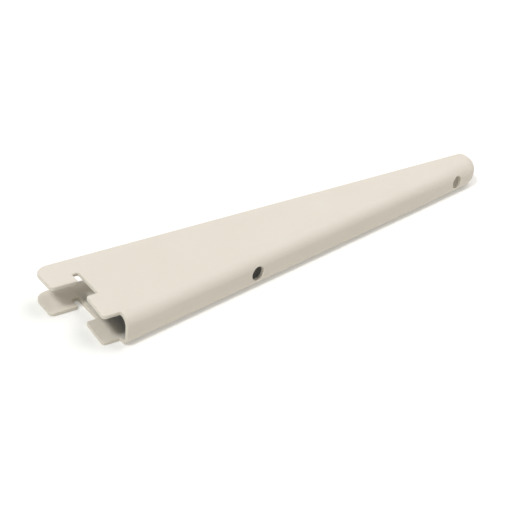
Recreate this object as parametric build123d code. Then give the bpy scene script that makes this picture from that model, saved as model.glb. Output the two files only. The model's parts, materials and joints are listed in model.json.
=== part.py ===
from build123d import *
import os
from math import asin, atan2, cos, hypot, isclose, radians, sin, tan

# A slotted shelf bracket, pressed from one steel sheet into a channel that tapers from the upright
# to a rounded nose. The web is the sloping underside, and the open side carries the shelf.
# It lies on one flange. X runs from the upright's face out to the nose, +Y points to the shelf, and
# Z crosses the channel. The origin is where the shelf line meets the upright's face, halfway
# between the flanges.

# Sheet and section
sheet = 1.6  # thickness of the coated sheet
channel_width = 13.5  # across the outsides of the two flanges
bend_radius = 4.6  # outside of the fold between a flange and the web

# Side view
reach = 220.0  # upright's face to the nose
wall_depth = 48.0  # shelf line to the web's outer face, at the upright
nose_radius = 9.8  # outside of the web where it turns up round the nose, in the side view
nose_flat = 0.9  # half the flat width that the rounder folds leave on the nose
nose_run = 40.0  # length of web over which the folds open to the nose
nose_lean = 15.0  # degrees that the turned-up web leans back where it meets the shelf line

# Hook at the shelf line, with the slit that drops over the edge of the upright's slot
hook_reach = 14.5  # upright's face to the hook's outer end
hook_depth = 16.1  # shelf line to the hook's lower edge
hook_crown_radius = 6.0
hook_foot_radius = 2.0
hook_lip_radius = 1.0
slit_width = 2.6
slit_top = 10.8  # shelf line to the closed end of the slit
slit_end_radius = 0.7

# Lower lug, which steadies the bracket in the next slot
lug_top = 26.8  # shelf line to the lug's upper edge
lug_foot = 42.4  # shelf line to the lug's lower edge
lug_reach = 5.0  # upright's face to the lug's outer end, at its upper edge
lug_foot_reach = 6.1  # the same at its lower edge, so that the end slants
lug_top_radius = 1.3
lug_foot_radius = 1.6
notch_radius = 0.4  # inner corners beside the lug
web_setback = 1.3  # upright's face to the cut end of the web

# Screw holes in the web
screw_hole_radius = 3.2
screw_hole_bevel = 0.2  # outer rim of a screw hole, where the punch draws it in
rear_screw_out = 69.3  # upright's face to the rear hole
front_screw_back = 18.0  # nose to the front hole

# Cut rims of the sheet
outer_bevel = 0.3  # outside, where the shears roll the rim over
inner_bevel = 0.25  # inside, where the burr is taken off
smooth_angle = 25.0  # degrees between two faces, over which their shared edge counts as a rim
same_height = 0.01  # distance within which an edge counts as lying in a flange's face

# Run of the cutting shapes past the metal
overrun = 20.0


def nose_centre():
    """Centre of the web's turn round the nose, in the side view."""
    return Vector(reach - nose_radius, -nose_radius * sin(radians(nose_lean)))


def web_slope():
    """Angle that the web climbs from the upright, so that it runs smoothly into the nose."""
    start, centre = Vector(0, -wall_depth), nose_centre()
    run, rise = centre.X - start.X, centre.Y - start.Y
    return atan2(rise, run) - asin(nose_radius / hypot(run, rise))


def web_point(out, inset=0.0):
    """Point of the web's outer face at a distance out from the upright, or that far inside it."""
    slope = web_slope()
    return Vector(out, -wall_depth + out * tan(slope) + inset / cos(slope))


def channel_section(out, inset, width, height, fold):
    """Section square to the web at a distance out: flat over the web, and rounded up into both flanges."""
    along = Vector(cos(web_slope()), sin(web_slope()))
    across = Plane(web_point(out, inset), x_dir=(0, 0, -1), z_dir=along)
    block = Rectangle(width, height, align=(Align.CENTER, Align.MIN))
    return across * fillet(block.vertices().group_by(Axis.Y)[0], fold - inset)


def channel_form(inset, width):
    """Solid of the channel's outside, or of its inside when the web and nose move in by inset."""
    height, radius = wall_depth + overrun, nose_radius - inset
    nose_fold = channel_width / 2 - nose_flat
    turn = nose_centre().X + radius * sin(web_slope())
    even = channel_section(turn - nose_run, inset, width, height, bend_radius)
    opened = channel_section(turn, inset, width, height, nose_fold)
    turned = channel_section(turn, inset, width, radius, nose_fold)
    web = extrude(even, -reach) + loft([even, opened], ruled=True)
    return web + revolve(turned, Axis(nose_centre(), (0, 0, 1)), 180)


def folded_channel():
    """Channel of even thickness, folded along the web and round the nose, and long at the wall."""
    return channel_form(0, channel_width) - channel_form(sheet, channel_width - 2 * sheet)


def rim_outline():
    """Side view that the channel is trimmed to: hook, slit, lower lug and web end."""
    low, far = -wall_depth - overrun, reach + overrun
    points = {
        "crown": (-hook_reach, 0),
        "hook foot": (-hook_reach, -hook_depth),
        "hook lip": (-slit_width, -hook_depth),
        "slit outer end": (-slit_width, -slit_top),
        "slit inner end": (0, -slit_top),
        "notch above lug": (0, -lug_top),
        "lug top": (-lug_reach, -lug_top),
        "lug foot": (-lug_foot_reach, -lug_foot),
        "notch below lug": (web_setback, -lug_foot),
        "below web": (web_setback, low),
        "below nose": (far, low),
        "beyond nose": (far, 0),
    }
    outline = make_face(Polyline(*points.values(), close=True))
    roundings = {
        "crown": hook_crown_radius,
        "hook foot": hook_foot_radius,
        "hook lip": hook_lip_radius,
        "slit outer end": slit_end_radius,
        "slit inner end": slit_end_radius,
        "notch above lug": notch_radius,
        "lug top": lug_top_radius,
        "lug foot": lug_foot_radius,
        "notch below lug": notch_radius,
    }
    for name, radius in roundings.items():
        corner = outline.vertices().sort_by_distance(points[name])[0]
        outline = fillet(corner, radius)
    return outline


def flange_rims(body, height):
    """Sharp edges of the flange faces that lie at that height over and under the middle plane."""
    meetings = {}
    for face in body.faces():
        for edge in face.edges():
            meetings.setdefault(edge, []).append(face.normal_at(edge @ 0.5))
    sharp = [edge for edge, normals in meetings.items()
             if len(normals) == 2 and normals[0].get_angle(normals[1]) > smooth_angle]
    return [edge for edge in sharp
            if all(isclose(abs((edge @ t).Z), height, abs_tol=same_height) for t in (0, 0.5, 1))]


def with_soft_rims(body):
    """The body with its cut rim softened, which from the flanges runs on round the nose and web end."""
    body = chamfer(flange_rims(body, channel_width / 2), outer_bevel)
    return chamfer(flange_rims(body, channel_width / 2 - sheet), inner_bevel)


def with_screw_hole(body, out):
    """The body with a hole punched square through the web, its outer rim drawn in by the punch."""
    outward = Vector(sin(web_slope()), -cos(web_slope()))
    punch = Plane(web_point(out), z_dir=outward) * Cylinder(screw_hole_radius, 4 * sheet)
    body = body - punch
    middle = web_point(out, sheet / 2)
    wall = body.faces().sort_by_distance(middle)[0]
    rim = [edge for edge in wall.edges() if (edge @ 0.5 - middle).dot(outward) > sheet / 10]
    return chamfer(rim, screw_hole_bevel)


def bracket():
    """The finished bracket: one folded and trimmed sheet."""
    body = folded_channel()
    body = body & extrude(rim_outline(), channel_width, both=True)
    for out in (rear_screw_out, reach - front_screw_back):
        body = with_screw_hole(body, out)
    return with_soft_rims(body)


if __name__ == "__main__":
    os.makedirs("parts", exist_ok=True)
    export_step(bracket(), "parts/bracket.step")
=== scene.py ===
# %% [markdown]
# # A slotted shelf bracket in ivory powder coat
#
# This lesson dresses a pressed-steel shelf bracket. The CAD model already has the true folded sheet,
# so Blender's work is the finish: clean curved surfaces, the coat's colour and satin gloss, its fine
# orange-peel skin, and a light that shows them. Everything is in metres. X runs from the wall out to
# the nose, Y points to the shelf, and the bracket lies on one flange, so Z points up through both.

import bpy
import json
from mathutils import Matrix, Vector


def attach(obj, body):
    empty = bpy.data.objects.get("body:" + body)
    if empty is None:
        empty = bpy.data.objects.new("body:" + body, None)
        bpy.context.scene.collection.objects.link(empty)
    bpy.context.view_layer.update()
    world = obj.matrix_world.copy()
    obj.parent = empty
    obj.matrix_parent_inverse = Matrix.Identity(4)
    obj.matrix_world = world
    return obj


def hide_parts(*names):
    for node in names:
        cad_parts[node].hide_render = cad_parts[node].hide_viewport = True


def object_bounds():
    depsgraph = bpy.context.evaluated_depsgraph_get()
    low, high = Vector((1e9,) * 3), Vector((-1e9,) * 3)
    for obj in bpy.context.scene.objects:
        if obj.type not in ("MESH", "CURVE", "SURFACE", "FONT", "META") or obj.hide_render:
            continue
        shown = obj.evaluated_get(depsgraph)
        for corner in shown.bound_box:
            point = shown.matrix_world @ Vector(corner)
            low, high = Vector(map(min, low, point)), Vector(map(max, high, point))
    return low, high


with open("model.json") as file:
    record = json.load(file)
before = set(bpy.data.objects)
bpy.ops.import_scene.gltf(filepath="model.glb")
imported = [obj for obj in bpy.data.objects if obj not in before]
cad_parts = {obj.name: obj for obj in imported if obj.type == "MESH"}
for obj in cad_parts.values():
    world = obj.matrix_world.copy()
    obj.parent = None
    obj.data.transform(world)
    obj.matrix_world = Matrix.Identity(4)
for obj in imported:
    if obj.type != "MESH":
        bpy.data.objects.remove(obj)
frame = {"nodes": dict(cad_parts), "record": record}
cad_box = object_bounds()
print("CAD box", cad_box)

# %% Modules
import json
from math import atan, cos, radians, sin

import bpy
from mathutils import Matrix, Vector

MM = 0.001

# %% [markdown]
# ## A clean skin over the CAD solid
#
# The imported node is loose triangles, shaded flat, which shows every facet of the folds. The sheet could
# be modelled again from a plane and bevels, but its shape is right already. So a copy is merged into
# one closed surface and shaded smooth, with the cut corners kept crisp. Weighted normals let each wide
# flat face set its own shading, so that the narrow rounded rims beside it don't tint it.

# %% Copy, merge and smooth the sheet
SHARP_CORNER = radians(32)
MERGE_GAP = 0.002 * MM
WIDE_FACES_RULE = 100  # the highest weight, where 50 favours neither wide faces nor narrow ones


def work_on(piece):
    """Leaves this piece alone selected and active, as the operators expect."""
    bpy.ops.object.select_all(action="DESELECT")
    piece.select_set(True)
    bpy.context.view_layer.objects.active = piece


def smooth_copy(node, name):
    """A copy of a CAD node, merged into one surface and shaded smooth between its corners."""
    piece = node.copy()
    piece.data = node.data.copy()
    piece.name = piece.data.name = name
    piece.parent = None
    bpy.context.collection.objects.link(piece)
    work_on(piece)
    bpy.ops.mesh.customdata_custom_splitnormals_clear()
    bpy.ops.object.mode_set(mode="EDIT")
    bpy.ops.mesh.select_all(action="SELECT")
    bpy.ops.mesh.remove_doubles(threshold=MERGE_GAP)
    bpy.ops.object.mode_set(mode="OBJECT")
    bpy.ops.object.shade_smooth_by_angle(angle=SHARP_CORNER)
    weighted = piece.modifiers.new("flat faces rule", "WEIGHTED_NORMAL")
    weighted.keep_sharp = True
    weighted.weight = WIDE_FACES_RULE
    bpy.ops.object.modifier_apply(modifier=weighted.name)
    return piece


sheet = smooth_copy(frame["nodes"]["bracket"], "coated_sheet")
print("sheet", len(sheet.data.vertices), "vertices", len(sheet.data.polygons), "faces")

# %% [markdown]
# ## Shader maths as plain expressions
#
# A finish is a small formula: so much of one noise, less of another, kept between two limits. Wiring
# Math nodes by hand hides that formula. One small class wraps a node's output instead, so that Python's
# own + - * write the nodes, and one method adds any other kind of node.

# %% A wrapped shader socket
class Wire:
    """A node's output socket. Arithmetic on it adds Math nodes."""

    def __init__(self, tree, socket=None):
        self.tree, self.socket = tree, socket

    def node(self, kind, settings, values, output=0):
        """Adds a node of this kind, sets it up, then fills its sockets with values or links."""
        made = self.tree.nodes.new("ShaderNode" + kind)
        for name, setting in settings.items():
            setattr(made, name, setting)
        for name, value in values.items():
            if isinstance(value, Wire):
                value.feed(made.inputs[name])
            else:
                made.inputs[name].default_value = value
        return Wire(self.tree, made.outputs[output])

    def feed(self, entry):
        """Links this output to a node's input."""
        self.tree.links.new(self.socket, entry)

    def math(self, operation, *others):
        """A Math node on this value, followed by the others."""
        return self.node("Math", {"operation": operation}, dict(enumerate((self, *others))))

    def split(self):
        """The x, y and z of a vector."""
        parts = self.node("SeparateXYZ", {}, {"Vector": self}).socket.node.outputs
        return [Wire(self.tree, part) for part in parts]

    def ramp(self, start, end):
        """0 where this value is at start, 1 where it is at end, and a straight line between."""
        limits = {"Value": self, "From Min": start, "From Max": end}
        return self.node("MapRange", {"clamp": True}, limits)

    def blend(self, first, second):
        """The first colour where this value is 0, and the second where it is 1."""
        settings = {"data_type": "RGBA", "clamp_factor": True}
        return self.node("Mix", settings, {"Factor": self, "A": first, "B": second}, output=2)

    def __add__(self, other):
        return self.math("ADD", other)

    def __sub__(self, other):
        return self.math("SUBTRACT", other)

    def __rsub__(self, other):
        return self.node("Math", {"operation": "SUBTRACT"}, {0: other, 1: self})

    def __mul__(self, other):
        return self.math("MULTIPLY", other)

    __radd__, __rmul__ = __add__, __mul__


# %% [markdown]
# ## Painted shade in the channel, thin coat at the rims
#
# Deep in the narrow channel, where the walls keep most light out, the colour is darkened to a cool
# grey: this is painted shade. While it melts, the coat also draws back from cut rims and punched
# holes. Both places could be painted on the mesh, but they follow from the shape, so they are
# worked out from where a point is: its depth under the sheet's outer face, its depth from the open
# sides, and its distance from the holes' axes.

# %% Sizes that the masks need
SHEET = 1.6 * MM
CHANNEL_WIDTH = 13.5 * MM
FOLD_RADIUS = 4.6 * MM
FOLD_Z = CHANNEL_WIDTH / 2 - FOLD_RADIUS  # a fold's axis, over the middle plane
NOSE_RADIUS, NOSE_CENTRE = 9.8 * MM, (210.2 * MM, -2.54 * MM)
SCREWS = [mount for mount in frame["record"]["mounts"] if mount["kind"] == "bore"]
print("screw holes at", [screw["pos_m"] for screw in SCREWS])


def past(x, y, spot, direction):
    """How far a point lies past a spot in a direction, in the side view."""
    return (x - spot[0]) * direction[0] + (y - spot[1]) * direction[1]


def length(a, b):
    """Length of the two values taken at right angles, with negative ones as 0."""
    a, b = a.math("MAXIMUM", 0), b.math("MAXIMUM", 0)
    return (a * a + b * b).math("SQRT")


# %% How deep a point lies in the channel
# Each pair says where the painted shade starts, and where it is darkest.
FROM_SHELF = 5 * MM, 32 * MM
FROM_WALL = 0.5 * MM, 6 * MM
INNER_SKIN = FOLD_RADIUS - 0.5 * SHEET, FOLD_RADIUS - 0.8 * SHEET  # from a fold's axis


def in_channel(place):
    """1 deep on the channel's inner faces, and 0 near its open sides and on all outer faces."""
    x, y, z = place.split()
    web_middle, (out_x, out_y, _) = SCREWS[0]["pos_m"], SCREWS[0]["axis"]
    # In the side view, the web's outer face is a line that runs on into the nose's arc.
    under_web = past(x, y, web_middle, (-out_x, -out_y)) + SHEET / 2
    past_turn = past(x, y, NOSE_CENTRE, (-out_y, out_x))
    under_nose = NOSE_RADIUS - length(past_turn, NOSE_RADIUS - under_web)
    # Across the channel, the folds' arcs join web and nose to the flanges in the same way.
    from_fold = length(z.math("ABSOLUTE") - FOLD_Z, FOLD_RADIUS - under_nose)
    # Painted shade: it grows with depth from the shelf side and from the wall end.
    painted_shade_reach = (0 - y).ramp(*FROM_SHELF).math("MINIMUM", x.ramp(*FROM_WALL))
    return from_fold.ramp(*INNER_SKIN) * painted_shade_reach


# %% Cut rims and punched holes
# Each pair says where the coat starts to draw back, and where it is thin.
SHELF_RIM_Y = -0.5 * MM, -0.3 * MM
WALL_END_X = 2.0 * MM, 1.8 * MM
CUT_FACE_Z = 0.9, 0.75  # of a face's normal, which points straight up or down on a flange
HOLE_MARGIN = 0.4 * MM, 0.1 * MM  # past a hole's radius


def on_cut_rim(place, facing):
    """1 on the sheet's cut faces and round its holes, and 0 elsewhere."""
    x, y, z = place.split()
    _, _, facing_z = facing.split()
    wall_end = x.ramp(*WALL_END_X) * facing_z.math("ABSOLUTE").ramp(*CUT_FACE_Z)
    rim = y.ramp(*SHELF_RIM_Y).math("MAXIMUM", wall_end)
    for screw in SCREWS:
        radius = screw["dims"]["r_mm"] * MM
        out_x, out_y, _ = screw["axis"]
        along = past(x, y, screw["pos_m"], (-out_y, out_x))
        from_axis = length(along.math("ABSOLUTE"), z.math("ABSOLUTE"))
        rim = rim.math("MAXIMUM", from_axis.ramp(*(radius + margin for margin in HOLE_MARGIN)))
    return rim


# %% [markdown]
# ## The powder coat
#
# The real finish is polyester powder, baked on the steel. It isn't a flat colour: the melt leaves a
# fine orange peel, with lumps of a millimetre or two, and the film's thickness drifts over centimetres,
# which shows as a very faint cloud in colour and gloss. A picture of such a coat would need the sheet
# unwrapped. Noise textures read Object coordinates instead, so the pattern has its true size on every
# surface and runs on round the folds.

# %% Powder-coat material
IVORY = (0.672, 0.621, 0.535, 1)
THIN_IVORY = (0.650, 0.598, 0.510, 1)
RIM_IVORY = (0.610, 0.570, 0.480, 1)
# Painted shade: a dark cool grey that stands in for the shade deep in the channel.
PAINTED_SHADE_GREY = (0.25, 0.255, 0.26, 1)
CLOUD, SPECKS = 1.6, 0.3  # how far the film and the grain shift the colour
RIM_SHOWS = 0.5  # how much of a rim's own colour comes through
SATIN, SHINE = 0.58, 0.35  # roughness of the plain coat, and how much it reflects head-on
FILM_LUMP, PEEL_LUMP, GRAIN_LUMP = 24 * MM, 1.8 * MM, 0.4 * MM
PEEL_HEIGHT, PEEL_STRENGTH = 0.14 * MM, 0.6


def noise(start, place, size, detail):
    """Noise between 0 and 1, with lumps of about this size in metres."""
    return start.node("TexNoise", {}, {"Vector": place, "Scale": 1 / size, "Detail": detail})


def powder_coat(name):
    """An ivory coat with a satin gloss, with painted shade deep in the channel and thin coat at cut rims.
    """
    material = bpy.data.materials.new(name)
    material.use_nodes = True
    shader = material.node_tree.nodes["Principled BSDF"]
    shader.inputs["Specular IOR Level"].default_value = SHINE
    start = Wire(material.node_tree)
    place = start.node("TexCoord", {}, {}, output="Object")
    facing = start.node("TexCoord", {}, {}, output="Normal")
    film = noise(start, place, FILM_LUMP, detail=3)
    peel = noise(start, place, PEEL_LUMP, detail=1)
    grain = noise(start, place, GRAIN_LUMP, detail=2)
    drift, speckle = film - 0.5, grain - 0.5

    rim = on_cut_rim(place, facing)
    # Painted shade: the colour darkens deep in the channel, where little light reaches.
    painted_shade = in_channel(place) * (1 - rim) * (drift * 0.8 + 0.95)
    colour = (drift * CLOUD + 0.5 + speckle * SPECKS).blend(IVORY, THIN_IVORY)
    colour = (rim * RIM_SHOWS).blend(colour, RIM_IVORY)
    colour = (painted_shade + speckle * painted_shade * 0.4).blend(colour, PAINTED_SHADE_GREY)
    colour.feed(shader.inputs["Base Color"])
    roughness = SATIN + drift * 0.10 + speckle * 0.08 + painted_shade * 0.12
    roughness.feed(shader.inputs["Roughness"])
    height = peel * 0.8 + grain * (painted_shade * 0.4 + 0.2)
    relief = {"Height": height, "Strength": PEEL_STRENGTH, "Distance": PEEL_HEIGHT}
    start.node("Bump", {}, relief).feed(shader.inputs["Normal"])
    return material


coat = powder_coat("ivory_powder_coat")
sheet.data.materials.clear()
sheet.data.materials.append(coat)
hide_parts("bracket")
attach(sheet, "root")
print("coat has", len(coat.node_tree.nodes), "nodes")

# %% [markdown]
# ## Floor
#
# The bracket lies on white paper. A sweep that curves up behind it would be out of the picture, so a
# wide plane at the height of the lower flange is enough. It carries the soft contact shadow and throws
# light back on the web. The paper is barely warm, and a little glow of its own keeps it as white as
# the photograph's ground, so that the shadow stays light.

# %% White paper
FLOOR_SIZE = 12
PAPER, GLOW = (0.74, 0.735, 0.70, 1), (1, 1, 1, 1)
GLOW_STRENGTH, MATT = 0.22, 0.9

low = cad_box[0][2]
bpy.ops.object.select_all(action="DESELECT")
bpy.ops.mesh.primitive_plane_add(size=FLOOR_SIZE, location=(0, 0, low))
floor = bpy.context.object
floor.name = "white_sweep"
sweep = bpy.data.materials.new("white_sweep")
sweep.use_nodes = True
paper = sweep.node_tree.nodes["Principled BSDF"]
paper.inputs["Base Color"].default_value = PAPER
paper.inputs["Emission Color"].default_value = GLOW
paper.inputs["Emission Strength"].default_value = GLOW_STRENGTH
paper.inputs["Roughness"].default_value = MATT
paper.inputs["Specular IOR Level"].default_value = 0
floor.data.materials.append(sweep)
print("floor at z", low)

# %% [markdown]
# ## Light
#
# In the photograph the top flange is even and brightest, the web falls off towards the floor, and the
# upper hook throws a soft shadow that runs along the bracket. So a large key lamp hangs far off on the
# wall side, about 55 degrees up, and its distance keeps the light even from hook to nose. Two weaker
# lamps open the shadows, one over the nose and one at the back. More lamps could light the web, but
# pale walls round the set, light near the horizon and darker overhead, do it more evenly.

# %% Lamps
MIDDLE = (0.1, -0.02, 0)


def area_light(name, aim, offset, size, power, tint):
    """A square lamp at this offset from its aim, turned to face it."""
    data = bpy.data.lights.new(name, "AREA")
    data.size, data.energy, data.color = size, power, tint
    lamp = bpy.data.objects.new(name, data)
    bpy.context.collection.objects.link(lamp)
    lamp.location = Vector(aim) + Vector(offset)
    lamp.rotation_euler = Vector(offset).to_track_quat("Z", "Y").to_euler()
    print("lamp", name, "at", lamp.location)


area_light("key", MIDDLE, (-6.6, -1.6, 10.0), size=2.6, power=900, tint=(0.96, 0.98, 1))
area_light("over_nose", MIDDLE, (1.5, 0.1, 2.4), size=2.0, power=44, tint=(1, 0.97, 1))
area_light("back", MIDDLE, (0.4, 3.4, 1.4), size=2.0, power=30, tint=(0.93, 0.97, 1))

# %% Pale walls
WALL, CEILING = (0.66, 0.655, 0.63, 1), (0.23, 0.23, 0.23, 1)
WALL_TO_CEILING = 0.1, 0.4  # z of a unit direction, at the wall's top and where the ceiling starts

world = bpy.data.worlds.new("surround")
bpy.context.scene.world = world
world.use_nodes = True
direction = Wire(world.node_tree).node("TexCoord", {}, {}, output="Generated")
_, _, rise = direction.split()
surround = rise.ramp(*WALL_TO_CEILING).blend(WALL, CEILING)
surround.feed(world.node_tree.nodes["Background"].inputs["Color"])
bpy.context.scene.view_settings.view_transform = "Standard"
print("surround has", len(world.node_tree.nodes), "nodes")

# %% [markdown]
# ## Camera
#
# A camera placed by eye never matches the outline to the pixel, so a perspective camera was fitted to
# the photograph. It looks down at 31 degrees, from 37 degrees round towards the wall end, and is rolled
# a little. The two shifts say how far the aim lies from the middle of the picture.

# %% Camera at the photograph's angle
LOOK_DOWN, LOOK_ROUND, ROLL = radians(31.221), radians(37.430), radians(-5.145)
AIM = Vector((100, -20, 0.25)) * MM
DISTANCE, AIM_RIGHT, AIM_DOWN = 513.955 * MM, 16.879 * MM, -7.935 * MM
PICTURE, FOCAL_PIXELS = 512, 1186.2
NEAREST = 10 * MM

ahead = Vector((sin(LOOK_ROUND), cos(LOOK_ROUND), 0))
look = cos(LOOK_DOWN) * ahead - Vector((0, 0, sin(LOOK_DOWN)))
level_right = Vector((cos(LOOK_ROUND), -sin(LOOK_ROUND), 0))
level_down = look.cross(level_right)
right = cos(ROLL) * level_right + sin(ROLL) * level_down
down = cos(ROLL) * level_down - sin(ROLL) * level_right

lens = bpy.data.cameras.new("photo_camera")
lens.angle = 2 * atan(PICTURE / 2 / FOCAL_PIXELS)
lens.clip_start = NEAREST
camera = bpy.data.objects.new("photo_camera", lens)
bpy.context.collection.objects.link(camera)
axes = Matrix((right, -down, -look)).transposed().to_4x4()
eye = AIM - DISTANCE * look - AIM_RIGHT * right - AIM_DOWN * down
camera.matrix_world = Matrix.Translation(eye) @ axes
bpy.context.scene.camera = camera
print("camera at", eye, "lens", lens.lens)
